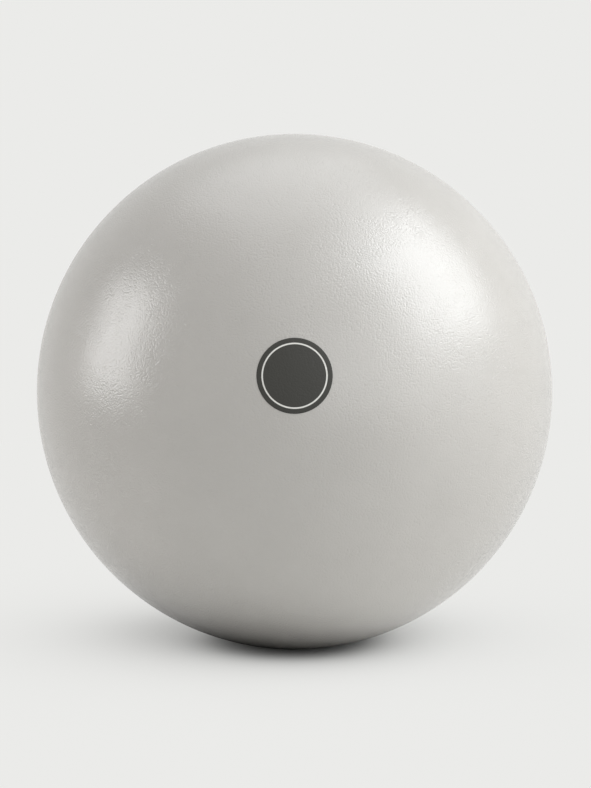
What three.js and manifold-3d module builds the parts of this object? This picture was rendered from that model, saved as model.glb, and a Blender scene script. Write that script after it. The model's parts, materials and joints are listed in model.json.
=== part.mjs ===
// A small soft pilates ball, inflated and standing on a floor.
// Its pieces are one hollow skin, a valve seat bonded inside the skin, the stopper that closes the valve,
// and a round printed badge.
//
// Units are millimetres and +Z is up. The origin is on the floor, under the middle of the ball.
// The badge looks to the front, which is -Y. The valve is straight behind it, at the other end of the
// ball's axis.

import * as THREE from 'three';
import { mergeVertices } from 'three/addons/utils/BufferGeometryUtils.js';
import Module from 'manifold-3d';

const wasm = await Module();
wasm.setup();

// Ball
const BALL_DIAMETER = 250;
const SKIN_WALL = 0.8;
const CONTACT_RADIUS = 18; // flat patch that the soft ball stands on
const SHOULDER_RADIUS = 40; // rounding between that patch and the sphere
const AXIS_TILT = THREE.MathUtils.degToRad(8); // the badge looks up by this much, and the valve down

// Badge
const BADGE_DIAMETER = 31.4;
const BADGE_FILM = 0.2;
const BADGE_LIFT = 0.1; // clear of the skin's highest points

// Stopper
const HEAD_DIAMETER = 10.2;
const HEAD_THICKNESS = 1.5;
const HEAD_EDGE = 0.4; // chamfer round the top of the head
const HEAD_SET_BACK = 0.2; // below the lip of the cup, so that it doesn't catch
const DISH_DIAMETER = 6.4; // shallow dish in the head, for a fingertip
const DISH_DEPTH = 0.45;
const SHANK_DIAMETER = 5.2; // under the head
const SHANK_TIP_DIAMETER = 4.4;
const NOSE_REACH = 2; // the shank comes out of the neck by this much
const NOSE_CHAMFER = 0.8;
const CORE_DIAMETER = 1.8; // blind core from the nose
const CORE_DEPTH = 9;
const BARB_HEIGHT = 0.3;
const BARB_LENGTH = 2.4;
const BARB_PITCH = 3.5;
const BARB_INSET = 1.2; // lowest barb to the end of the neck

// Valve seat
const HEAD_CLEARANCE = 0.6; // round the stopper's head
const HEAD_SEAT_GAP = 0.3; // under the stopper's head
const COLLAR_WALL = 1.8; // round the cup that the head lies in
const COLLAR_GAP = 0.3; // to the edge of the skin's hole
const LIP_EDGE = 0.5; // chamfer inside the lip of the cup
const CUP_FLOOR = 1.6;
const FLANGE_WIDTH = 6.5;
const FLANGE_THICKNESS = 1.2;
const BOND_GAP = 0.3; // glue line between flange and skin
const BORE_CLEARANCE = 0.15; // round the barbs
const BORE_CHAMFER = 0.6;
const NECK_WALL = 1.6;
const NECK_LENGTH = 10;

// Facets
const BALL_SEGMENTS = 56;
const BALL_RINGS = 28;
const SHOULDER_STEPS = 2;
const VALVE_SEGMENTS = 32;
const FLANGE_STEPS = 3;
const DISH_STEPS = 3;
const BADGE_SEGMENTS = 40;
const BADGE_STEPS = 4;

// Sizes of the ball that follow
const ballRadius = BALL_DIAMETER / 2;
const shoulderOffset = ballRadius - SHOULDER_RADIUS; // ball centre to the middle of the shoulder's arc
const shoulderAngle = Math.asin(CONTACT_RADIUS / shoulderOffset);
const ballHeight = SHOULDER_RADIUS + shoulderOffset * Math.cos(shoulderAngle); // ball centre above the floor
const ringAngle = (Math.PI - shoulderAngle) / BALL_RINGS;
const facetSag = ballRadius * (1 - Math.cos(Math.PI / BALL_SEGMENTS) * Math.cos(ringAngle / 2));

// Sizes of the valve that follow. Heights are along the ball's axis, from the ball's centre.
const headRadius = HEAD_DIAMETER / 2;
const cupRadius = headRadius + HEAD_CLEARANCE;
const collarRadius = cupRadius + COLLAR_WALL;
const holeRadius = collarRadius + COLLAR_GAP;
const flangeRadius = collarRadius + FLANGE_WIDTH;
const flangeTop = ballRadius - SKIN_WALL - facetSag - BOND_GAP; // radii of the flange's two curved faces
const flangeUnder = flangeTop - FLANGE_THICKNESS;
const lipHeight = heightOnSphere(ballRadius, collarRadius);
const headTop = lipHeight - HEAD_SET_BACK;
const headUnder = headTop - HEAD_THICKNESS;
const cupFloor = headUnder - HEAD_SEAT_GAP;
const cupUnder = Math.min(cupFloor, heightOnSphere(flangeUnder, collarRadius)) - CUP_FLOOR;
const barbRadius = SHANK_DIAMETER / 2 + BARB_HEIGHT;
const neckRadius = barbRadius + BORE_CLEARANCE + NECK_WALL;
const neckTop = cupUnder - (collarRadius - neckRadius); // the cup narrows to the neck at 45 degrees
const neckEnd = neckTop - NECK_LENGTH;
const noseEnd = neckEnd - NOSE_REACH;

// Height of a sphere above a plane through its centre, at a distance from its axis.
function heightOnSphere(sphereRadius, distance) {
  return Math.sqrt(sphereRadius ** 2 - distance ** 2);
}

// The stopper's shank tapers evenly from its head to its nose.
function shankRadius(height) {
  const share = (headUnder - height) / (headUnder - noseEnd);
  return THREE.MathUtils.lerp(SHANK_DIAMETER, SHANK_TIP_DIAMETER, share) / 2;
}

// The bore has the same taper and clears the barbs.
function boreRadius(height) {
  return shankRadius(height) + BARB_HEIGHT + BORE_CLEARANCE;
}

// Profile points are (distance from the axis, height).
function point(distance, height) {
  return new THREE.Vector2(distance, height);
}

function arc(centre, radius, fromAngle, toAngle, steps) {
  return Array.from({ length: steps + 1 }, (_, step) => {
    const angle = THREE.MathUtils.lerp(fromAngle, toAngle, step / steps);
    return point(centre.x + radius * Math.cos(angle), centre.y + radius * Math.sin(angle));
  });
}

// Points on a sphere round the origin, between two distances from the axis. side is 1 above and -1 below.
function cap(sphereRadius, fromDistance, toDistance, steps, side = 1) {
  return Array.from({ length: steps + 1 }, (_, step) => {
    const distance = THREE.MathUtils.lerp(fromDistance, toDistance, step / steps);
    return point(distance, side * heightOnSphere(sphereRadius, distance));
  });
}

// A profile turned about +Z. It runs upwards along outer walls, so that the faces point outwards.
function revolve(profile, segments) {
  return new THREE.LatheGeometry(profile, segments).rotateX(Math.PI / 2);
}

function toSolid(geometry) {
  const bare = geometry.clone();
  bare.deleteAttribute('normal');
  bare.deleteAttribute('uv');
  const merged = mergeVertices(bare);
  const corners = merged.index.array;
  const triVerts = [];
  for (let i = 0; i < corners.length; i += 3) {
    const [a, b, c] = corners.slice(i, i + 3);
    if (a !== b && b !== c && c !== a) triVerts.push(a, b, c);
  }
  const vertProperties = new Float32Array(merged.attributes.position.array);
  return new wasm.Manifold(
    new wasm.Mesh({ numProp: 3, vertProperties, triVerts: new Uint32Array(triVerts) }),
  );
}

function toGeometry(solid) {
  const mesh = solid.getMesh();
  const geometry = new THREE.BufferGeometry();
  geometry.setAttribute('position', new THREE.BufferAttribute(mesh.vertProperties, mesh.numProp));
  geometry.setIndex(new THREE.BufferAttribute(mesh.triVerts, 1));
  geometry.computeVertexNormals();
  return geometry;
}

// The standing ball's outline, set in by a distance: flat patch, shoulder, sphere up to the top.
function standingProfile(inset) {
  const down = -Math.PI / 2;
  const shoulderCentre = point(CONTACT_RADIUS, SHOULDER_RADIUS);
  const ballCentre = point(0, ballHeight);
  const leaves = down + shoulderAngle;
  const shoulder = arc(shoulderCentre, SHOULDER_RADIUS - inset, down, leaves, SHOULDER_STEPS);
  const sphere = arc(ballCentre, ballRadius - inset, leaves, -down, BALL_RINGS);
  return [point(0, inset), ...shoulder, ...sphere.slice(1)];
}

function makeSkin(axisFrame) {
  const outside = toSolid(revolve(standingProfile(0), BALL_SEGMENTS));
  const inside = toSolid(revolve(standingProfile(SKIN_WALL), BALL_SEGMENTS));
  const reach = SKIN_WALL + holeRadius; // well past both faces of the wall
  const plug = [
    point(0, ballRadius - reach),
    point(holeRadius, ballRadius - reach),
    point(holeRadius, ballRadius + reach),
    point(0, ballRadius + reach),
  ];
  const hole = toSolid(revolve(plug, VALVE_SEGMENTS).applyMatrix4(axisFrame));
  return toGeometry(outside.subtract(inside).subtract(hole));
}

function makeValveSeat() {
  const mouth = cupFloor - BORE_CHAMFER;
  const profile = [
    point(boreRadius(neckEnd), neckEnd),
    point(neckRadius, neckEnd),
    point(neckRadius, neckTop),
    point(collarRadius, cupUnder),
    ...cap(flangeUnder, collarRadius, flangeRadius, FLANGE_STEPS),
    ...cap(flangeTop, flangeRadius, collarRadius, FLANGE_STEPS),
    point(collarRadius, lipHeight),
    point(cupRadius + LIP_EDGE, lipHeight),
    point(cupRadius, lipHeight - LIP_EDGE),
    point(cupRadius, cupFloor),
    point(boreRadius(mouth) + BORE_CHAMFER, cupFloor),
    point(boreRadius(mouth), mouth),
  ];
  return revolve([...profile, profile[0]], VALVE_SEGMENTS);
}

// One barb: a cone that grips on the way out, with its step towards the head.
function barb(foot) {
  const top = foot + BARB_LENGTH;
  return [
    point(shankRadius(foot), foot),
    point(shankRadius(top) + BARB_HEIGHT, top),
    point(shankRadius(top), top),
  ];
}

// As many barbs as the bore has room for, counted from the end of the neck.
function barbs() {
  const lowest = neckEnd + BARB_INSET;
  const count = Math.floor((cupFloor - BORE_CHAMFER - lowest) / BARB_PITCH);
  return Array.from({ length: count }, (_, i) => barb(lowest + i * BARB_PITCH)).flat();
}

function makeValvePlug() {
  const coreRadius = CORE_DIAMETER / 2;
  const tipRadius = SHANK_TIP_DIAMETER / 2;
  const noseChamfer = Math.min(NOSE_CHAMFER, (tipRadius - coreRadius) / 2);
  const dishRadius = DISH_DIAMETER / 2;
  const dish = Array.from({ length: DISH_STEPS + 1 }, (_, step) => {
    const share = 1 - step / DISH_STEPS;
    return point(dishRadius * share, headTop - DISH_DEPTH * (1 - share ** 2));
  });
  const profile = [
    point(0, noseEnd + CORE_DEPTH),
    point(coreRadius, noseEnd + CORE_DEPTH),
    point(coreRadius, noseEnd),
    point(tipRadius - noseChamfer, noseEnd),
    point(shankRadius(noseEnd + noseChamfer), noseEnd + noseChamfer),
    ...barbs(),
    point(shankRadius(headUnder), headUnder),
    point(headRadius, headUnder),
    point(headRadius, headTop - HEAD_EDGE),
    point(headRadius - HEAD_EDGE, headTop),
    ...dish,
  ];
  return revolve(profile, VALVE_SEGMENTS);
}

// The badge is a film over the pole of the ball opposite the valve.
function makeBadge() {
  const badgeRadius = BADGE_DIAMETER / 2;
  const underside = ballRadius + BADGE_LIFT;
  const profile = [
    ...cap(underside + BADGE_FILM, 0, badgeRadius, BADGE_STEPS, -1),
    ...cap(underside, badgeRadius, 0, BADGE_STEPS, -1),
  ];
  return revolve(profile, BADGE_SEGMENTS);
}

const softPvc = new THREE.MeshStandardMaterial({ color: 0xbdbab4, roughness: 0.42, metalness: 0 });
const valvePvc = new THREE.MeshStandardMaterial({ color: 0xb3b0aa, roughness: 0.55, metalness: 0 });
const plugPolyethylene = new THREE.MeshStandardMaterial({ color: 0xd8d6d1, roughness: 0.5, metalness: 0 });
const darkInk = new THREE.MeshStandardMaterial({ color: 0x3f3e39, roughness: 0.6, metalness: 0 });

function addPiece(parent, name, geometry, material) {
  const piece = new THREE.Mesh(geometry, material);
  piece.name = name;
  parent.add(piece);
}

// The ball's axis: its origin is the ball's centre and its +Z looks out through the valve.
const axisGroup = new THREE.Group();
axisGroup.position.z = ballHeight;
axisGroup.rotation.x = -(Math.PI / 2 + AXIS_TILT);
axisGroup.updateMatrix();

const pilatesBall = new THREE.Group();
pilatesBall.add(axisGroup);
addPiece(pilatesBall, 'ball_skin', makeSkin(axisGroup.matrix), softPvc);
addPiece(axisGroup, 'valve_seat', makeValveSeat(), valvePvc);
addPiece(axisGroup, 'valve_plug', makeValvePlug(), plugPolyethylene);
addPiece(axisGroup, 'badge_print', makeBadge(), darkInk);

export default pilatesBall;
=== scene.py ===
# %% [markdown]
# # A soft pilates ball on a studio floor
#
# The real ball is one hollow skin of soft PVC, cast in a turning mould and blown up through a valve.
# A stopper closes the valve at the back, and a round badge is printed on the front.
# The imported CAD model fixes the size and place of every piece, so it is loaded first and never moved.
# Each piece below is then worked out as a surface, in metres, in the frame of that model.

import json
import math

import bpy
import numpy as np
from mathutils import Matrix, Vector


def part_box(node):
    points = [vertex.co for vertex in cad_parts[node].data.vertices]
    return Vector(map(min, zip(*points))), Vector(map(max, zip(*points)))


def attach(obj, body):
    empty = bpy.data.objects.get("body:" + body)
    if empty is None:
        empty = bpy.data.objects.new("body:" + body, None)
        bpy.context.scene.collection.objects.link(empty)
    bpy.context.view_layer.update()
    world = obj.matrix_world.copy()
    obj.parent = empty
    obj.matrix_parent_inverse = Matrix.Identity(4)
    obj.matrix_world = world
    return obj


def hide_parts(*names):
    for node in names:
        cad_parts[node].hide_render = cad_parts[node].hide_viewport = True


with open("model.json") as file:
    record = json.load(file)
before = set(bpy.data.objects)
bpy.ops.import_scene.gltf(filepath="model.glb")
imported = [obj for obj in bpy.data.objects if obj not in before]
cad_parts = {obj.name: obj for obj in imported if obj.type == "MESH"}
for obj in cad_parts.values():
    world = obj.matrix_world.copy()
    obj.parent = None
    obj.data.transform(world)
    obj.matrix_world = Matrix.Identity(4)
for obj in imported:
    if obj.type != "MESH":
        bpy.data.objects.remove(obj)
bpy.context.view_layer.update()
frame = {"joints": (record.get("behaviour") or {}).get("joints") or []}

# %% [markdown]
# ## What the frame says
#
# A ball needs few facts: its radius, the height of its centre, and the axis that runs from the badge
# to the valve. They could be typed in again, but then two files would have to agree.
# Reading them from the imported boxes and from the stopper's joint keeps one source for them.

# %% Measure the ball
MM = 0.001

skin_low, skin_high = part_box("ball_skin")
BALL_RADIUS = (skin_high.x - skin_low.x) / 2
BALL_CENTRE = np.array([0.0, 0.0, skin_high.z - BALL_RADIUS])
VALVE_AXIS = np.array(frame["joints"][0]["axis"])
VALVE_AXIS = VALVE_AXIS / np.linalg.norm(VALVE_AXIS)
SIDE_AXIS = np.array([1.0, 0.0, 0.0])
UP_AXIS = np.cross(SIDE_AXIS, VALVE_AXIS)


def half_width(node):
    """Half of a CAD node's width along X, which is the radius of a round piece."""
    low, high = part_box(node)
    return (high.x - low.x) / 2


print("ball radius, mm:", round(BALL_RADIUS / MM, 2))
print("ball centre above the floor, mm:", round(BALL_CENTRE[2] / MM, 2))

# %% [markdown]
# ## The standing shape
#
# A soft ball isn't a sphere where it stands. Its skin lies flat on the floor over a small patch, and
# a rounded shoulder leads from that patch to the sphere. Sculpting that by hand or simulating cloth
# would work, but the shape has an exact formula, so every direction from the centre gets its point
# directly.

# %% Standing ball as a function of direction
CONTACT_RADIUS = 18 * MM
# Straight down has no direction along the floor, and this keeps its length from being zero.
NO_LENGTH = 1e-12

CENTRE_HEIGHT = BALL_CENTRE[2]
SHOULDER_RADIUS = (BALL_RADIUS**2 - CONTACT_RADIUS**2 - CENTRE_HEIGHT**2) / (
    2 * (BALL_RADIUS - CENTRE_HEIGHT)
)
SHOULDER_ANGLE = math.asin(CONTACT_RADIUS / (BALL_RADIUS - SHOULDER_RADIUS))


def standing_ball(directions, inset):
    """Points on the ball's skin, along unit directions from its centre, inset below the outer face.

    A direction that leaves straight down by more than the shoulder's angle meets the sphere, at the
    centre plus (radius minus inset) times the direction. Nearer to straight down, the share of that
    angle becomes a share of the length of the flat profile: first out along the floor, then up the
    arc of the shoulder. No point lies below the floor.
    """
    inset = np.broadcast_to(inset, directions.shape[:-1])
    on_sphere = BALL_CENTRE + (BALL_RADIUS - inset)[..., None] * directions
    angle = np.arccos(np.clip(-directions[..., 2], -1, 1))
    shoulder = SHOULDER_RADIUS - inset
    length = np.minimum(angle / SHOULDER_ANGLE, 1) * (CONTACT_RADIUS + shoulder * SHOULDER_ANGLE)
    turn = np.maximum(length - CONTACT_RADIUS, 0) / shoulder
    out = np.minimum(length, CONTACT_RADIUS) + shoulder * np.sin(turn)
    up = np.maximum(inset + shoulder * (1 - np.cos(turn)), 0)
    level = directions[..., :2]
    level = level / np.maximum(np.linalg.norm(level, axis=-1, keepdims=True), NO_LENGTH)
    on_foot = np.concatenate([out[..., None] * level, up[..., None]], axis=-1)
    return np.where((angle < SHOULDER_ANGLE)[..., None], on_foot, on_sphere)


def spokes(columns):
    """Unit vectors across the axis, once round it: cos(turn) x side + sin(turn) x up."""
    turn = np.linspace(0, 2 * np.pi, columns, endpoint=False)
    return np.cos(turn)[:, None] * SIDE_AXIS + np.sin(turn)[:, None] * UP_AXIS


def directions_round(axis_angle, columns):
    """Rings of unit directions, one ring for each angle: cos(angle) x axis + sin(angle) x spoke."""
    angle = np.asarray(axis_angle)[:, None, None]
    return np.cos(angle) * VALVE_AXIS + np.sin(angle) * spokes(columns)


print("shoulder radius, mm:", round(SHOULDER_RADIUS / MM, 2))

# %% [markdown]
# ## From rings of points to a closed mesh
#
# Every piece here is round about the ball's axis, so each one is a stack of rings. A profile that
# starts and ends on the axis closes at two poles, and a profile that closes on itself makes a ring
# like a washer. A screw modifier would also turn a profile, but it knows nothing of the flat patch
# under the ball. Whole arrays of faces are cheap, and the sign of the volume tells whether they point
# outwards.

# %% Mesh from rings
def rings_to_faces(rings, wraps):
    """Four-cornered faces from each ring of numbers to the next, and from last to first if it wraps."""
    nearer = rings if wraps else rings[:-1]
    further = np.roll(rings, -1, axis=0) if wraps else rings[1:]
    corners = [nearer, np.roll(nearer, -1, axis=1), np.roll(further, -1, axis=1), further]
    return np.stack(corners, axis=-1).reshape(-1, 4)


def signed_volume(vertices, triangles):
    """A sixth of the sum of a . (b x c) over all triangles: positive when the faces point outwards."""
    a, b, c = (vertices[triangles[:, corner]] for corner in range(3))
    return np.einsum("ij,ij->", a, np.cross(b, c)) / 6


def round_mesh(name, grid, wraps=False):
    """A closed mesh from a grid of rings of points.

    Without wrapping, the first and the last ring are poles on the axis, and a fan of triangles closes
    each of them.
    """
    rows, columns = grid.shape[:2]
    numbers = np.arange(rows * columns).reshape(rows, columns)
    if wraps:
        vertices = grid.reshape(-1, 3)
        quads = rings_to_faces(numbers, True)
        fans = np.empty((0, 3), int)
    else:
        rings = numbers[: rows - 2] + 1
        last = rings.size + 1
        vertices = np.concatenate([grid[0, :1], grid[1:-1].reshape(-1, 3), grid[-1, :1]])
        quads = rings_to_faces(rings, False)
        first_fan = np.stack([np.zeros(columns, int), np.roll(rings[0], -1), rings[0]], axis=-1)
        last_fan = np.stack([np.full(columns, last), rings[-1], np.roll(rings[-1], -1)], axis=-1)
        fans = np.concatenate([first_fan, last_fan])
    triangles = np.concatenate([quads[:, [0, 1, 2]], quads[:, [0, 2, 3]], fans])
    step = 1 if signed_volume(vertices, triangles) > 0 else -1
    mesh = bpy.data.meshes.new(name)
    mesh.from_pydata(vertices.tolist(), [], quads[:, ::step].tolist() + fans[:, ::step].tolist())
    mesh.shade_smooth()
    return mesh


def add_piece(mesh, material, body, node):
    """Puts a mesh in the scene in place of a CAD node, riding on a body of the frame."""
    piece = bpy.data.objects.new(mesh.name, mesh)
    bpy.context.scene.collection.objects.link(piece)
    mesh.materials.append(material)
    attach(piece, body)
    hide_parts(node)
    print("made", piece.name, "with", len(mesh.polygons), "faces, in", material.name)


# %% [markdown]
# ## Colours and nodes
#
# Colours are written as the sRGB hex values that a colour picker shows. Blender wants linear light,
# and linear numbers could be typed in, but nobody can read a colour from them, so one function
# converts. Materials are small node trees, and one function adds a node with its settings and its
# inputs, whatever its kind.

# %% Colour and node helpers
def linear(hex_colour):
    """Linear red, green, blue and alpha of an sRGB hex colour, by the inverse of the sRGB curve."""
    srgb = np.array([int(hex_colour[i : i + 2], 16) for i in (1, 3, 5)]) / 255
    light = np.where(srgb <= 0.04045, srgb / 12.92, ((srgb + 0.055) / 1.055) ** 2.4)
    return (*light.tolist(), 1.0)


def add_node(tree, kind, inputs=None, **settings):
    """Adds a node with its own settings. An input is a value, or another node's output socket."""
    node = tree.nodes.new(kind)
    for name, value in settings.items():
        setattr(node, name, value)
    for socket, value in (inputs or {}).items():
        if isinstance(value, bpy.types.NodeSocket):
            tree.links.new(value, node.inputs[socket])
        else:
            node.inputs[socket].default_value = value
    return node


def new_material(name):
    """A node material with nothing in it yet, and its tree."""
    material = bpy.data.materials.new(name)
    material.use_nodes = True
    material.node_tree.nodes.clear()
    return material, material.node_tree


print("a middle grey in linear light:", round(linear("#808080")[0], 3))

# %% [markdown]
# ## Soft PVC, cast in a grained mould
#
# The skin is plasticised PVC. The mould's wall is etched like fine leather, so the skin is covered in
# soft pebbles about a millimetre across. Away from the lamps that gives a plain warm grey, and at the
# edge of a highlight it breaks the light into fine wrinkles. Modelled pebbles would take millions of
# faces, and plain noise has lumps but no valleys between them, so a pattern of cells makes the domes.
# Their depth comes and goes in patches, as it does when acid etches steel. The pattern reads Object
# coordinates, because one that is wrapped from a map would pinch at the poles.

# %% Skin material
PEBBLE = 0.82 * MM
PEBBLE_WARP = 0.4 * MM
WARP_SIZE = 2 * PEBBLE
NOISE_MIDDLE = (0.5, 0.5, 0.5)
VALLEY_SOFTNESS = 0.15
GRAIN_DEPTH = 0.115 * MM
GRAIN_PATCH = 11 * MM
GRAIN_SHALLOW = 0.6
# Most of a noise pattern's values lie between these two.
NOISE_LOW = 0.35
NOISE_HIGH = 0.65
MOTTLE = 34 * MM
SKIN_ROUGHNESS = 0.18
# Soft PVC has an IOR of about 1.53, and its sheen is matched with a little more.
SKIN_IOR = 1.6
SKIN_COLOUR = "#bbb7b2"
SKIN_COLOUR_WORN = "#b3afaa"


def grain_height(tree, place):
    """Height of the leather grain: domes round the middles of cells of warped space.

    A dome's height is 1 minus the square of the distance to the middle of its cell, in cell
    widths. A little smoothing rounds the valleys where two domes meet.
    """
    warp = add_node(tree, "ShaderNodeTexNoise", {"Vector": place, "Scale": 1 / WARP_SIZE, "Detail": 1.0})
    centred = add_node(
        tree,
        "ShaderNodeVectorMath",
        {0: warp.outputs["Color"], 1: NOISE_MIDDLE},
        operation="SUBTRACT",
    )
    shift = add_node(
        tree,
        "ShaderNodeVectorMath",
        {0: centred.outputs[0], "Scale": 2 * PEBBLE_WARP},
        operation="SCALE",
    )
    warped = add_node(tree, "ShaderNodeVectorMath", {0: place, 1: shift.outputs[0]}, operation="ADD")
    cells = add_node(
        tree,
        "ShaderNodeTexVoronoi",
        {"Vector": warped.outputs[0], "Scale": 1 / PEBBLE, "Smoothness": VALLEY_SOFTNESS},
        feature="SMOOTH_F1",
    )
    distance = cells.outputs["Distance"]
    square = add_node(tree, "ShaderNodeMath", {0: distance, 1: distance}, operation="MULTIPLY")
    dome = add_node(tree, "ShaderNodeMath", {0: 1.0, 1: square.outputs[0]}, operation="SUBTRACT")
    return dome.outputs[0]


def make_soft_pvc():
    """Satin PVC: two close greys in broad clouds, and a grain whose depth follows smaller clouds."""
    material, tree = new_material("soft_pvc_leather_grain")
    place = add_node(tree, "ShaderNodeTexCoord").outputs["Object"]
    mottle = add_node(tree, "ShaderNodeTexNoise", {"Vector": place, "Scale": 1 / MOTTLE, "Detail": 3.0})
    colour = add_node(
        tree,
        "ShaderNodeMix",
        {"Factor": mottle.outputs["Fac"], "A": linear(SKIN_COLOUR), "B": linear(SKIN_COLOUR_WORN)},
        data_type="RGBA",
    )
    patch = add_node(
        tree, "ShaderNodeTexNoise", {"Vector": place, "Scale": 1 / GRAIN_PATCH, "Detail": 1.0}
    )
    depth_share = add_node(
        tree,
        "ShaderNodeMapRange",
        {
            "Value": patch.outputs["Fac"],
            "From Min": NOISE_LOW,
            "From Max": NOISE_HIGH,
            "To Min": GRAIN_SHALLOW,
        },
    )
    bump = add_node(
        tree,
        "ShaderNodeBump",
        {
            "Height": grain_height(tree, place),
            "Distance": GRAIN_DEPTH,
            "Strength": depth_share.outputs["Result"],
        },
    )
    shader = add_node(
        tree,
        "ShaderNodeBsdfPrincipled",
        {
            "Base Color": colour.outputs["Result"],
            "Roughness": SKIN_ROUGHNESS,
            "IOR": SKIN_IOR,
            "Normal": bump.outputs["Normal"],
        },
    )
    add_node(tree, "ShaderNodeOutputMaterial", {"Surface": shader.outputs["BSDF"]})
    return material


soft_pvc = make_soft_pvc()
print("grain of", soft_pvc.name, "in mm:", round(PEBBLE / MM, 2), "by", round(GRAIN_DEPTH / MM, 3))

# %% [markdown]
# ## Sizes of the valve
#
# At the back, the skin has a round hole. A moulded seat is bonded behind it: a cup for the stopper's
# head, a flange under the skin and a neck with the bore. The CAD pieces could simply be shown, but
# their edges are sharp and their rounds are coarse. So the seat and the stopper are turned anew from
# the same sizes, and what can be read from the frame is read. Heights are measured along the ball's
# axis, from the ball's centre.

# %% Valve sizes
SKIN_WALL = 0.8 * MM
HEAD_RADIUS = half_width("valve_plug")
HEAD_THICKNESS = 1.5 * MM
HEAD_SET_BACK = 0.2 * MM
HEAD_GAP = 0.3 * MM
CUP_ROOM = 0.6 * MM
LIP_WIDTH = 1.8 * MM
HOLE_GAP = 0.3 * MM
BOND_GAP = 0.5 * MM
FLANGE_THICKNESS = 1.2 * MM
CUP_DROP = 1.6 * MM
NECK_RADIUS = 4.65 * MM
NECK_LENGTH = 10 * MM
SHANK_RADIUS = 2.6 * MM
SHANK_TIP_RADIUS = 2.2 * MM
NOSE_REACH = 2 * MM

CUP_RADIUS = HEAD_RADIUS + CUP_ROOM
COLLAR_RADIUS = CUP_RADIUS + LIP_WIDTH
HOLE_RADIUS = COLLAR_RADIUS + HOLE_GAP
FLANGE_RADIUS = half_width("valve_seat")
FLANGE_TOP = BALL_RADIUS - SKIN_WALL - BOND_GAP


def height_on_sphere(sphere_radius, distance):
    """Height of a sphere over its middle plane: the root of radius squared minus distance squared."""
    return np.sqrt(sphere_radius**2 - np.asarray(distance) ** 2)


LIP_HEIGHT = height_on_sphere(BALL_RADIUS, COLLAR_RADIUS)
HEAD_TOP = LIP_HEIGHT - HEAD_SET_BACK
HEAD_UNDER = HEAD_TOP - HEAD_THICKNESS
CUP_FLOOR = HEAD_UNDER - HEAD_GAP
CUP_UNDER = height_on_sphere(FLANGE_TOP - FLANGE_THICKNESS, COLLAR_RADIUS) - CUP_DROP
NECK_TOP = CUP_UNDER - (COLLAR_RADIUS - NECK_RADIUS)
NECK_END = NECK_TOP - NECK_LENGTH
NOSE_END = NECK_END - NOSE_REACH
print("stopper length, mm:", round((HEAD_TOP - NOSE_END) / MM, 2))

# %% [markdown]
# ## The skin
#
# A sphere with a Solidify modifier would be quick, but its hole would have ragged edges. Here one
# profile runs from the inside of the badge pole along the inner face to the valve hole, round the
# edge of the hole, and back along the outer face. Over the bonded flange of the valve the skin stands
# a trace proud, and half way between badge and valve it keeps the fine raised line where the two
# halves of the mould met. Both are tenths of a millimetre, and catch the light from the side.

# %% Ball skin
PAD_RISE = 0.12 * MM
PAD_EDGE = 2.0 * MM
PARTING_RISE = 0.1 * MM
PARTING_WIDTH = 0.5 * MM
PARTING_REACH = 4 * PARTING_WIDTH
SKIN_COLUMNS = 256
INNER_RINGS = 60
EDGE_RINGS = 9
# Steps along the outer face: to the pad's end, to the parting line, across it, and to the badge pole.
OUTER_STEPS = (24, 76, 24, 80)


def skin_rise(axis_angle):
    """How far the outer face stands proud: the pad over the flange and the parting line.

    The pad falls off over its edge by the smooth step 3s^2 - 2s^3, and the line is a bell curve
    across its width.
    """
    from_valve = axis_angle * BALL_RADIUS
    share = np.clip((FLANGE_RADIUS + PAD_EDGE - from_valve) / (2 * PAD_EDGE), 0, 1)
    pad = PAD_RISE * share**2 * (3 - 2 * share)
    from_line = (axis_angle - np.pi / 2) * BALL_RADIUS
    return pad + PARTING_RISE * np.exp(-((from_line / PARTING_WIDTH) ** 2))


def make_skin_mesh():
    """The closed skin, as rings at angles from the valve's axis, each with its depth in the wall.

    The depth is the wall along the inner face, half a wall x (1 + cos(turn)) round the edge of the
    hole, and nothing along the outer face. Rings crowd together at the pad and at the parting line.
    """
    half_wall = SKIN_WALL / 2
    hole_angle = (HOLE_RADIUS + half_wall) / BALL_RADIUS
    pad_angle = (FLANGE_RADIUS + 2 * PAD_EDGE) / BALL_RADIUS
    line_angle = PARTING_REACH / BALL_RADIUS
    turn = np.linspace(0, np.pi, EDGE_RINGS)
    inner_angle = np.linspace(np.pi, hole_angle, INNER_RINGS)[:-1]
    edge_angle = hole_angle - half_wall / BALL_RADIUS * np.sin(turn)
    outer_stops = [hole_angle, pad_angle, np.pi / 2 - line_angle, np.pi / 2 + line_angle, np.pi]
    stretches = [
        np.linspace(first, last, steps + 1)[1:]
        for first, last, steps in zip(outer_stops, outer_stops[1:], OUTER_STEPS)
    ]
    outer_angle = np.concatenate(stretches)
    inner_depth = np.full(inner_angle.shape, SKIN_WALL)
    edge_depth = half_wall * (1 + np.cos(turn))
    outer_depth = np.zeros(outer_angle.shape)
    angle = np.concatenate([inner_angle, edge_angle, outer_angle])
    inset = np.concatenate([inner_depth, edge_depth, outer_depth]) - skin_rise(angle)
    return round_mesh("skin", standing_ball(directions_round(angle, SKIN_COLUMNS), inset[:, None]))


add_piece(make_skin_mesh(), soft_pvc, "ball", "ball_skin")

# %% [markdown]
# ## Turned profiles with soft corners
#
# The seat and the stopper are small mouldings, and no moulded edge is sharp. A bevel modifier could
# soften them, but rounding the profile before it is turned is exact and costs few faces.

# %% Profile helpers
CURVE_POINTS = 5
SIDE_SHARE = 0.45
SAME_POINT = 0.0001 * MM
TURNED_COLUMNS = 96


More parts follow.
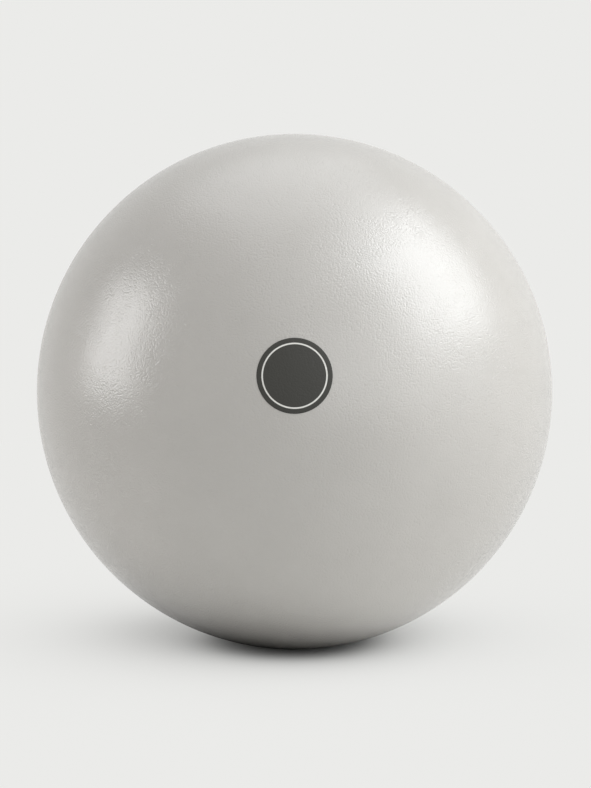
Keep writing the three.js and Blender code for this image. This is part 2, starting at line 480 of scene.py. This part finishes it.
def rounded(corners, radius):
    """A profile with its corners rounded by quadratic Bezier curves.

    A curve leaves the side before a corner at the given radius from it, is drawn towards the corner,
    and joins the side after it at the same distance, never past the middle of a side. Points that
    fall together are kept once.
    """
    before = np.roll(corners, 1, axis=0) - corners
    after = np.roll(corners, -1, axis=0) - corners
    before_length = np.linalg.norm(before, axis=1, keepdims=True)
    after_length = np.linalg.norm(after, axis=1, keepdims=True)
    reach = np.broadcast_to(radius, len(corners))[:, None]
    start = corners + before / before_length * np.minimum(reach, SIDE_SHARE * before_length)
    end = corners + after / after_length * np.minimum(reach, SIDE_SHARE * after_length)
    share = np.linspace(0, 1, CURVE_POINTS)[:, None, None]
    curves = (1 - share) ** 2 * start + 2 * share * (1 - share) * corners + share**2 * end
    profile = curves.transpose(1, 0, 2).reshape(-1, 2)
    step_length = np.linalg.norm(np.diff(profile, axis=0), axis=1)
    return profile[np.concatenate([[True], step_length > SAME_POINT])]


def turned(profile):
    """Rings of a profile of (distance, height) points: centre + height x axis + distance x spoke."""
    distance = profile[:, 0][:, None, None]
    height = profile[:, 1][:, None, None]
    return BALL_CENTRE + height * VALVE_AXIS + distance * spokes(TURNED_COLUMNS)


def shank_radius(height):
    """The stopper's taper: an even fall of the radius from the head's under side to the nose."""
    share = (HEAD_UNDER - height) / (HEAD_UNDER - NOSE_END)
    return SHANK_RADIUS + (SHANK_TIP_RADIUS - SHANK_RADIUS) * share


print("shank radius at the end of the neck, mm:", round(shank_radius(NECK_END) / MM, 2))

# %% [markdown]
# ## Moulded plastics
#
# Both pieces of the valve are injection moulded, and a moulding takes on the finish of its mould: an
# even bloom of fine pits, with little gloss. A higher roughness alone would look like paint, so fine
# noise drives bump, roughness and tone together, and the tone is painted shade that darkens the pits.
# Each plastic has its own grain and colours.

# %% Moulded plastics
MOULDED_IOR = 1.53
DULL_SWING = 0.08


def make_moulded(name, colour_hex, pit_shade_hex, roughness, grain_size, grain_depth):
    """A moulded plastic with an even, fine, matt grain, and painted shade that darkens its pits a
    little.
    """
    material, tree = new_material(name)
    place = add_node(tree, "ShaderNodeTexCoord").outputs["Object"]
    grain = add_node(
        tree, "ShaderNodeTexNoise", {"Vector": place, "Scale": 1 / grain_size, "Detail": 3.0}
    )
    # Painted shade: the grain's low places, its pits, take the darker colour.
    tone = add_node(
        tree,
        "ShaderNodeMix",
        {"Factor": grain.outputs["Fac"], "A": linear(pit_shade_hex), "B": linear(colour_hex)},
        data_type="RGBA",
    )
    dull = add_node(
        tree,
        "ShaderNodeMapRange",
        {
            "Value": grain.outputs["Fac"],
            "To Min": roughness + DULL_SWING,
            "To Max": roughness - DULL_SWING,
        },
    )
    bump = add_node(tree, "ShaderNodeBump", {"Height": grain.outputs["Fac"], "Distance": grain_depth})
    shader = add_node(
        tree,
        "ShaderNodeBsdfPrincipled",
        {
            "Base Color": tone.outputs["Result"],
            "Roughness": dull.outputs["Result"],
            "IOR": MOULDED_IOR,
            "Normal": bump.outputs["Normal"],
        },
    )
    add_node(tree, "ShaderNodeOutputMaterial", {"Surface": shader.outputs["BSDF"]})
    return material


print("IOR of the moulded plastics:", MOULDED_IOR)

# %% [markdown]
# ## Valve seat
#
# The seat is a firmer PVC in nearly the colour of the skin, from a mould that was spark eroded to a
# matt finish. Real spark pits are a tenth of a millimetre wide, and are drawn a little coarser so that
# a close view shows them. Neck, flange and cup could be three pieces set together, but the real seat
# is one moulding, so one closed profile runs round all of it.

# %% Valve seat
BORE_GAP = 0.45 * MM
BORE_MOUTH = 0.6 * MM
SEAT_SOFTNESS = 0.4 * MM
FLANGE_POINTS = 8
SPARK_GRAIN = 0.25 * MM
SPARK_DEPTH = 0.02 * MM
SEAT_ROUGHNESS = 0.5
SEAT_COLOUR = "#b3b0aa"
# The darker colour is painted shade in the pits of the grain.
SEAT_COLOUR_PIT_SHADE = "#a9a69f"


def make_seat_mesh():
    """A closed profile: up the neck, under and over the flange, over the lip, down cup and bore."""
    out = np.linspace(COLLAR_RADIUS, FLANGE_RADIUS, FLANGE_POINTS)
    flange_under = np.stack([out, height_on_sphere(FLANGE_TOP - FLANGE_THICKNESS, out)], axis=1)
    flange_over = np.stack([out, height_on_sphere(FLANGE_TOP, out)], axis=1)[::-1]
    bore_top = CUP_FLOOR - BORE_MOUTH
    neck = [[NECK_RADIUS, NECK_END], [NECK_RADIUS, NECK_TOP], [COLLAR_RADIUS, CUP_UNDER]]
    cup = [
        [COLLAR_RADIUS, LIP_HEIGHT],
        [CUP_RADIUS, LIP_HEIGHT],
        [CUP_RADIUS, CUP_FLOOR],
        [shank_radius(bore_top) + BORE_GAP + BORE_MOUTH, CUP_FLOOR],
        [shank_radius(bore_top) + BORE_GAP, bore_top],
        [shank_radius(NECK_END) + BORE_GAP, NECK_END],
    ]
    corners = np.concatenate([neck, flange_under, flange_over, cup])
    return round_mesh("valve_seat_moulding", turned(rounded(corners, SEAT_SOFTNESS)), wraps=True)


moulded_pvc = make_moulded(
    "moulded_pvc", SEAT_COLOUR, SEAT_COLOUR_PIT_SHADE, SEAT_ROUGHNESS, SPARK_GRAIN, SPARK_DEPTH
)
add_piece(make_seat_mesh(), moulded_pvc, "ball", "valve_seat")

# %% [markdown]
# ## Stopper
#
# The stopper is polyethylene in its natural milky white, waxy to the touch. Three barbs grip the
# bore, the nose is cored so that it can give, and the head has a shallow dish for a fingertip. Barbs
# and dish could be cut with booleans, but all of it is round, so one profile holds them all.

# %% Stopper
BARB_HEIGHT = 0.3 * MM
BARB_LENGTH = 2.4 * MM
BARB_PITCH = 3.5 * MM
BARB_INSET = 1.2 * MM
BARB_COUNT = 3
BARB_SOFTNESS = 0.12 * MM
CORE_RADIUS = 0.9 * MM
CORE_DEPTH = 9 * MM
CORE_SOFTNESS = 0.2 * MM
NOSE_SOFTNESS = 0.7 * MM
HEAD_UNDER_SOFTNESS = 0.3 * MM
HEAD_EDGE_SOFTNESS = 0.5 * MM
DISH_RADIUS = 3.2 * MM
DISH_DEPTH = 0.45 * MM
DISH_POINTS = 14
WAX_GRAIN = 0.6 * MM
WAX_DEPTH = 0.015 * MM
STOPPER_ROUGHNESS = 0.42
STOPPER_COLOUR = "#dad8d3"
# The darker colour is painted shade in the pits of the grain.
STOPPER_COLOUR_PIT_SHADE = "#cfccc5"


def make_stopper_mesh():
    """A profile from the end of the core, round the nose, up the barbs, round the head, to the dish.

    Each barb is a straight cone that ends in a step, and the dish is a parabola:
    depth x (1 - share squared).
    """
    foot = NECK_END + BARB_INSET + BARB_PITCH * np.arange(BARB_COUNT)
    top = foot + BARB_LENGTH
    barb_top_radius = shank_radius(top) + BARB_HEIGHT
    barb_radius = np.stack([shank_radius(foot), barb_top_radius, shank_radius(top)], axis=1)
    barb_height = np.stack([foot, top, top], axis=1)
    barbs = np.stack([barb_radius, barb_height], axis=-1).reshape(-1, 2)
    nose = [
        [0, NOSE_END + CORE_DEPTH],
        [CORE_RADIUS, NOSE_END + CORE_DEPTH],
        [CORE_RADIUS, NOSE_END],
        [SHANK_TIP_RADIUS, NOSE_END],
    ]
    head = [
        [shank_radius(HEAD_UNDER), HEAD_UNDER],
        [HEAD_RADIUS, HEAD_UNDER],
        [HEAD_RADIUS, HEAD_TOP],
        [DISH_RADIUS, HEAD_TOP],
    ]
    nose_softness = [0, CORE_SOFTNESS, CORE_SOFTNESS, NOSE_SOFTNESS]
    head_softness = [HEAD_UNDER_SOFTNESS, HEAD_UNDER_SOFTNESS, HEAD_EDGE_SOFTNESS, 0]
    softness = np.concatenate([nose_softness, np.full(len(barbs), BARB_SOFTNESS), head_softness])
    share = np.linspace(1, 0, DISH_POINTS)[1:]
    dish = np.stack([DISH_RADIUS * share, HEAD_TOP - DISH_DEPTH * (1 - share**2)], axis=1)
    outline = rounded(np.concatenate([nose, barbs, head]), softness)
    return round_mesh("stopper", turned(np.concatenate([outline, dish])))


waxy_polyethylene = make_moulded(
    "waxy_polyethylene", STOPPER_COLOUR, STOPPER_COLOUR_PIT_SHADE, STOPPER_ROUGHNESS, WAX_GRAIN, WAX_DEPTH
)
add_piece(make_stopper_mesh(), waxy_polyethylene, "plug", "valve_plug")

# %% [markdown]
# ## Badge ink
#
# The badge is a disc of dark ink, screen printed on the skin, and the ink half fills the grain. Its
# only mark is a thin pale ring inside its edge. A decal image would be the quick way, but it blurs in
# a close view, so the ring is drawn by the distance from the badge's axis and stays sharp.

# %% Badge ink
INK_GRAIN_DEPTH = 0.5 * GRAIN_DEPTH
INK_ROUGHNESS = 0.5
RING_RADIUS = 13.3 * MM
RING_WIDTH = 0.55 * MM
RING_BLUR = 0.08 * MM
INK_DARK = "#2a2924"
INK_PALE = "#dedcd6"


def make_badge_ink():
    """Matt ink that half fills the grain: pale where the distance off the axis is near the ring's.

    That distance is the length of (point - ball's centre) x axis.
    """
    material, tree = new_material("screen_ink")
    place = add_node(tree, "ShaderNodeTexCoord").outputs["Object"]
    from_centre = add_node(
        tree, "ShaderNodeVectorMath", {0: place, 1: tuple(BALL_CENTRE)}, operation="SUBTRACT"
    )
    off_axis = add_node(
        tree,
        "ShaderNodeVectorMath",
        {0: from_centre.outputs[0], 1: tuple(VALVE_AXIS)},
        operation="CROSS_PRODUCT",
    )
    distance = add_node(tree, "ShaderNodeVectorMath", {0: off_axis.outputs[0]}, operation="LENGTH")
    from_ring = add_node(
        tree, "ShaderNodeMath", {0: distance.outputs["Value"], 1: RING_RADIUS}, operation="SUBTRACT"
    )
    off_ring = add_node(tree, "ShaderNodeMath", {0: from_ring.outputs[0]}, operation="ABSOLUTE")
    on_ring = add_node(
        tree,
        "ShaderNodeMapRange",
        {
            "Value": off_ring.outputs[0],
            "From Min": RING_WIDTH / 2,
            "From Max": RING_WIDTH / 2 + RING_BLUR,
            "To Min": 1.0,
            "To Max": 0.0,
        },
    )
    colour = add_node(
        tree,
        "ShaderNodeMix",
        {"Factor": on_ring.outputs["Result"], "A": linear(INK_DARK), "B": linear(INK_PALE)},
        data_type="RGBA",
    )
    bump = add_node(
        tree,
        "ShaderNodeBump",
        {"Height": grain_height(tree, place), "Distance": INK_GRAIN_DEPTH, "Strength": 1.0},
    )
    shader = add_node(
        tree,
        "ShaderNodeBsdfPrincipled",
        {
            "Base Color": colour.outputs["Result"],
            "Roughness": INK_ROUGHNESS,
            "Normal": bump.outputs["Normal"],
        },
    )
    add_node(tree, "ShaderNodeOutputMaterial", {"Surface": shader.outputs["BSDF"]})
    return material


screen_ink = make_badge_ink()
print("ring in", screen_ink.name, "at a radius, mm:", round(RING_RADIUS / MM, 2))

# %% [markdown]
# ## Badge film
#
# Ink could be part of the skin's own material, but a real print is a film with an edge that catches
# the light. So the badge is a thin closed shell over the pole opposite the valve.

# %% Badge film
BADGE_RADIUS = half_width("badge_print")
BADGE_COLUMNS = 128
INK_LIFT = 0.04 * MM
INK_FILM = 0.1 * MM
INK_FACE_RINGS = 16
INK_EDGE_RINGS = 7


def make_badge_mesh():
    """A film over the pole opposite the valve: under face, half-round edge, upper face.

    Round the edge, the rise is half the film x (1 - cos(turn)).
    """
    half_film = INK_FILM / 2
    edge_angle = (BADGE_RADIUS - half_film) / BALL_RADIUS
    turn = np.linspace(0, np.pi, INK_EDGE_RINGS)
    outwards = np.linspace(0, edge_angle, INK_FACE_RINGS)[:-1]
    round_edge = edge_angle + half_film / BALL_RADIUS * np.sin(turn)
    from_pole = np.concatenate([outwards, round_edge, outwards[::-1]])
    edge_rise = half_film * (1 - np.cos(turn))
    under_rise = np.zeros(outwards.shape)
    upper_rise = np.full(outwards.shape, INK_FILM)
    rise = np.concatenate([under_rise, edge_rise, upper_rise])
    directions = directions_round(np.pi - from_pole, BADGE_COLUMNS)
    return round_mesh("badge", standing_ball(directions, -(INK_LIFT + rise)[:, None]))


add_piece(make_badge_mesh(), screen_ink, "ball", "badge_print")

# %% [markdown]
# ## Camera
#
# In a picture, a ball is very nearly a circle, so its radius in pixels gives the lens once the
# distance is chosen: three diameters, where a product photographer would stand. Turning the camera to
# put the ball in its place would tilt the floor a little, so the lens is shifted instead, as on a
# view camera.

# %% Camera
IMAGE_WIDTH = 591
IMAGE_HEIGHT = 788
BALL_PIXEL = (294.6, 391.6)
BALL_PIXEL_RADIUS = 257.8
CAMERA_DISTANCE = 6 * BALL_RADIUS
CAMERA_ELEVATION = math.radians(5)
SENSOR_WIDTH = 36
CLIP_START = 10 * MM


def add_camera():
    """A camera that looks at the ball's centre, with its lens worked out from the ball's circle.

    A sphere at a distance of d radii has an outline whose half angle has the sine 1 / d, so the focal
    length in pixels is the circle's radius x the root of d squared minus 1.
    """
    data = bpy.data.cameras.new("photo_camera")
    focal_pixels = BALL_PIXEL_RADIUS * math.sqrt((CAMERA_DISTANCE / BALL_RADIUS) ** 2 - 1)
    data.sensor_width = SENSOR_WIDTH
    data.lens = SENSOR_WIDTH * focal_pixels / IMAGE_HEIGHT
    data.shift_x = (IMAGE_WIDTH / 2 - BALL_PIXEL[0]) / IMAGE_HEIGHT
    data.shift_y = (BALL_PIXEL[1] - IMAGE_HEIGHT / 2) / IMAGE_HEIGHT
    data.clip_start = CLIP_START
    camera = bpy.data.objects.new("photo_camera", data)
    back = np.array([0, -math.cos(CAMERA_ELEVATION), math.sin(CAMERA_ELEVATION)])
    camera.location = BALL_CENTRE + CAMERA_DISTANCE * back
    camera.rotation_euler = (math.pi / 2 - CAMERA_ELEVATION, 0, 0)
    bpy.context.scene.collection.objects.link(camera)
    bpy.context.scene.camera = camera
    print("camera lens, mm:", round(data.lens, 1))


add_camera()

# %% [markdown]
# ## Shade round the foot
#
# Hardly any light gets in where the soft skin meets the floor, and the dark there fades with the
# distance from the foot. The lamps' own shadows would do on a plain floor, but the even glow of a
# studio backdrop hides them. So four ovals of painted shade, each with its own place, shape and reach,
# say where the floor is dark: two paint its middle dark, as scattered light and as gloss meet it, and
# two take the glow away near the foot, so that the paper with the lamps' real shadow shows through, one
# for the line of contact and one for the cast shadow.

# %% Shade round the foot
# Painted shade: the oval of the dark middle of the paper that scattered light and gloss meet.
MIDDLE_SHADE = {
    "centre": (-30 * MM, 0.0, 0.0),
    "stretch": (1.15, 1.0, 1.0),
    "half": 84 * MM,
    "fall": 6.5,
}
# Painted shade in the gloss: near the ball, gloss sees the dark painted paper instead of the glow.
GLOSS_SHADE = {
    "centre": (0.0, 0.0, 0.0),
    "stretch": (1.45, 1.0, 1.0),
    "half": 84 * MM,
    "fall": 6.5,
}
# Partly painted shade: these two ovals take the glow away near the foot, so that the paper with the
# lamps' real shadow shows there, in the ovals' painted shape.
CONTACT_SHADE = {
    "centre": (-1 * MM, -5 * MM, 0.0),
    "stretch": (1.0, 1.22, 1.0),
    "half": 45 * MM,
    "fall": 7.0,
}
CAST_SHADE = {
    "centre": (-2 * MM, 12 * MM, 0.0),
    "stretch": (1.0, 1.5, 1.0),
    "half": 90 * MM,
    "fall": 4.0,
}


def fade_away(tree, place, centre, stretch, half, fall):
    """0 at a centre, 1 far from it: 1 / (1 + (half / distance) ^ fall), with a stretched distance."""
    offset = add_node(tree, "ShaderNodeVectorMath", {0: place, 1: centre}, operation="SUBTRACT")
    oval = add_node(
        tree, "ShaderNodeVectorMath", {0: offset.outputs[0], 1: stretch}, operation="MULTIPLY"
    )
    distance = add_node(tree, "ShaderNodeVectorMath", {0: oval.outputs[0]}, operation="LENGTH")
    share = add_node(
        tree, "ShaderNodeMath", {0: half, 1: distance.outputs["Value"]}, operation="DIVIDE"
    )
    steep = add_node(tree, "ShaderNodeMath", {0: share.outputs[0], 1: fall}, operation="POWER")
    below = add_node(tree, "ShaderNodeMath", {0: steep.outputs[0], 1: 1.0}, operation="ADD")
    fade = add_node(tree, "ShaderNodeMath", {0: 1.0, 1: below.outputs[0]}, operation="DIVIDE")
    return fade.outputs[0]


print("half depth of the contact shade, mm from the foot:", round(CONTACT_SHADE["half"] / MM))

# %% [markdown]
# ## Paper floor
#
# The ball stands on pale paper that runs on as the backdrop. A studio lights its backdrop until it is
# one even grey. More lamps could do that here, but they would light the ball too, so a glow of that
# grey stands in for them. The camera sees plain paper with the ball's shadow close to the ball, in a
# shape painted by the shade ovals, and the glow takes over within a hand's breadth. What gloss and
# scattered light see of the paper is a paler copy that paints in more bounced light, and it is painted
# dark in the middle.

# %% Paper floor
BACKDROP = "#ebebe9"
PAPER = "#c8c8c6"
# Painted light: scattered light and gloss meet this paler copy of the paper, which adds bounced light on
# the ball.
BOUNCE = "#f0f0ee"
# Painted shade: the paper's middle turns this dark for scattered light and gloss.
BOUNCE_PAINTED_SHADE = "#161616"
# Painted shadow: the most glow that the cast oval takes away, letting the shadowed paper show.
CAST_SHARE = 0.6
FLOOR_HALF = 8.0


def kinds_of_ray(tree):
    """Two flags: 1 for a ray straight from the camera, and 1 for one that gloss or glass sends on."""
    path = add_node(tree, "ShaderNodeLightPath").outputs
    sent_on = add_node(
        tree,
        "ShaderNodeMath",
        {0: path["Is Glossy Ray"], 1: path["Is Transmission Ray"]},
        operation="MAXIMUM",
    )
    return path["Is Camera Ray"], sent_on.outputs[0]


def make_paper():
    """Matt paper under a glow: share of glow = (camera ray x contact + sent on x gloss shade) x cast.

    Each of these but the rays' own flags fades in with the distance from the ball's foot or shadow,
    and all of them are painted shade. Gloss and scattered light meet a paler copy of the paper, which
    paints in more bounced light, painted dark in the middle.
    """
    material, tree = new_material("studio_paper")
    place = add_node(tree, "ShaderNodeTexCoord").outputs["Object"]
    camera_ray, sent_on = kinds_of_ray(tree)
    # Painted shade: this mask paints the paper's middle dark for scattered light and gloss.
    painted_bounce_shade = fade_away(tree, place, **MIDDLE_SHADE)
    # Painted shade in the gloss: this mask withholds the glow from gloss near the ball.
    painted_gloss_shade = fade_away(tree, place, **GLOSS_SHADE)
    contact = fade_away(tree, place, **CONTACT_SHADE)
    shadow = fade_away(tree, place, **CAST_SHADE)
    # Painted shade: the paper that scattered light and gloss meet turns dark towards the ball's foot.
    bounce = add_node(
        tree,
        "ShaderNodeMix",
        {"Factor": painted_bounce_shade, "A": linear(BOUNCE_PAINTED_SHADE), "B": linear(BOUNCE)},
        data_type="RGBA",
    )
    # Painted light and shade: rays other than the camera's meet the paler copy, dark in the middle.
    colour = add_node(
        tree,
        "ShaderNodeMix",
        {"Factor": camera_ray, "A": bounce.outputs["Result"], "B": linear(PAPER)},
        data_type="RGBA",
    )
    # Painted shadow: the cast oval dims the glow by up to CAST_SHARE.
    cast = add_node(tree, "ShaderNodeMapRange", {"Value": shadow, "To Min": 1 - CAST_SHARE})
    in_gloss = add_node(tree, "ShaderNodeMath", {0: sent_on, 1: painted_gloss_shade}, operation="MULTIPLY")
    in_sight = add_node(
        tree,
        "ShaderNodeMath",
        {0: camera_ray, 1: contact, 2: in_gloss.outputs[0]},
        operation="MULTIPLY_ADD",
    )
    glowing = add_node(
        tree,
        "ShaderNodeMath",
        {0: in_sight.outputs[0], 1: cast.outputs["Result"]},
        operation="MULTIPLY",
    )
    paper = add_node(tree, "ShaderNodeBsdfDiffuse", {"Color": colour.outputs["Result"]})
    glow = add_node(tree, "ShaderNodeEmission", {"Color": linear(BACKDROP), "Strength": 1.0})
    both = add_node(
        tree,
        "ShaderNodeMixShader",
        {0: glowing.outputs[0], 1: paper.outputs["BSDF"], 2: glow.outputs["Emission"]},
    )
    add_node(tree, "ShaderNodeOutputMaterial", {"Surface": both.outputs["Shader"]})
    return material


def add_floor():
    """One large square face at the height of the floor."""
    corners = FLOOR_HALF * np.array([[-1, -1, 0], [1, -1, 0], [1, 1, 0], [-1, 1, 0]])
    mesh = bpy.data.meshes.new("floor")
    mesh.from_pydata(corners.tolist(), [], [(0, 1, 2, 3)])
    mesh.materials.append(make_paper())
    floor = bpy.data.objects.new("floor", mesh)
    bpy.context.scene.collection.objects.link(floor)
    return floor


floor = add_floor()
print("floor, metres across:", round(floor.dimensions.x, 1))

# %% [markdown]
# ## Room light
#
# Past the paper there is only the room. A picture of a studio could light the scene, but the grain of
# the skin would blur it away. So what is seen of the room, straight or in the gloss of the skin, is
# the grey of the backdrop, and the light that it sheds on the ball is a good deal weaker.

# %% World
ROOM_LIGHT = 0.12
ROOM_COLOUR = "#ffffff"


def make_world():
    """A world that shows the backdrop to the camera and to gloss, and sheds the room's light."""
    world = bpy.data.worlds.new("studio")
    world.use_nodes = True
    tree = world.node_tree
    tree.nodes.clear()
    camera_ray, sent_on = kinds_of_ray(tree)
    seen = add_node(tree, "ShaderNodeMath", {0: camera_ray, 1: sent_on}, operation="MAXIMUM")
    light = add_node(
        tree, "ShaderNodeBackground", {"Color": linear(ROOM_COLOUR), "Strength": ROOM_LIGHT}
    )
    backdrop = add_node(tree, "ShaderNodeBackground", {"Color": linear(BACKDROP), "Strength": 1.0})
    both = add_node(
        tree,
        "ShaderNodeMixShader",
        {0: seen.outputs[0], 1: light.outputs["Background"], 2: backdrop.outputs["Background"]},
    )
    add_node(tree, "ShaderNodeOutputWorld", {"Surface": both.outputs["Shader"]})
    return world


bpy.context.scene.world = make_world()
print("room light:", ROOM_LIGHT)

# %% [markdown]
# ## Softboxes
#
# Two highlights on the skin show where the lamps stand, because a ball mirrors a lamp where its
# surface faces half way between lamp and camera. The key softbox is high on the right, and as a real
# one is brightest in its middle, a second lamp adds that middle. The fill is low on the left. A long
# strip low on the right, a broad one overhead and a weak one in front shape the rest. All of these are
# a trace cooler than the fill, as daylight tubes are beside a bulb. Point lamps would be simpler, but
# they leave hard dots. Each softbox is given by its direction from the ball, by the half angles that it
# fills, by the level to which it lights a white card, and by its tint.

# %% Softboxes
LAMP_DISTANCE = 1.6
DAYLIGHT = "#fafdff"
BULB_LIGHT = "#ffffff"


def add_softbox(name, direction, half_across, half_up, level, tint):
    """A rectangular lamp in a tint that faces the ball and fills the given half angles, in degrees.

    A white card that faces the lamp at the ball gets power / (pi x distance squared) and sends a
    pi-th of that back, so the power is level x (pi x distance) squared.
    """
    towards = Vector(direction).normalized()
    lamp = bpy.data.lights.new(name, "AREA")
    lamp.shape = "RECTANGLE"
    lamp.size = 2 * LAMP_DISTANCE * math.tan(math.radians(half_across))
    lamp.size_y = 2 * LAMP_DISTANCE * math.tan(math.radians(half_up))
    lamp.energy = level * (math.pi * LAMP_DISTANCE) ** 2
    lamp.color = linear(tint)[:3]
    softbox = bpy.data.objects.new(name, lamp)
    softbox.location = Vector(BALL_CENTRE) + LAMP_DISTANCE * towards
    softbox.rotation_euler = (-towards).to_track_quat("-Z", "Y").to_euler()
    bpy.context.scene.collection.objects.link(softbox)
    print("softbox", name, "at level", level)


add_softbox("key", (0.70, -0.18, 0.69), half_across=27, half_up=29, level=0.57, tint=DAYLIGHT)
add_softbox("key_middle", (0.735, -0.125, 0.665), half_across=18, half_up=19, level=0.52, tint=DAYLIGHT)
add_softbox("strip", (0.72, -0.66, 0.20), half_across=45, half_up=20, level=0.46, tint=DAYLIGHT)
add_softbox("front", (0.26, -0.62, 0.74), half_across=24, half_up=18, level=0.08, tint=DAYLIGHT)
add_softbox("top", (-0.05, 0.19, 0.98), half_across=24, half_up=24, level=0.25, tint=DAYLIGHT)
add_softbox("fill", (-0.946, -0.10, 0.30), half_across=14, half_up=17.5, level=0.44, tint=BULB_LIGHT)

# Colours are shown as they are written, with no film curve.
bpy.context.scene.view_settings.view_transform = "Standard"
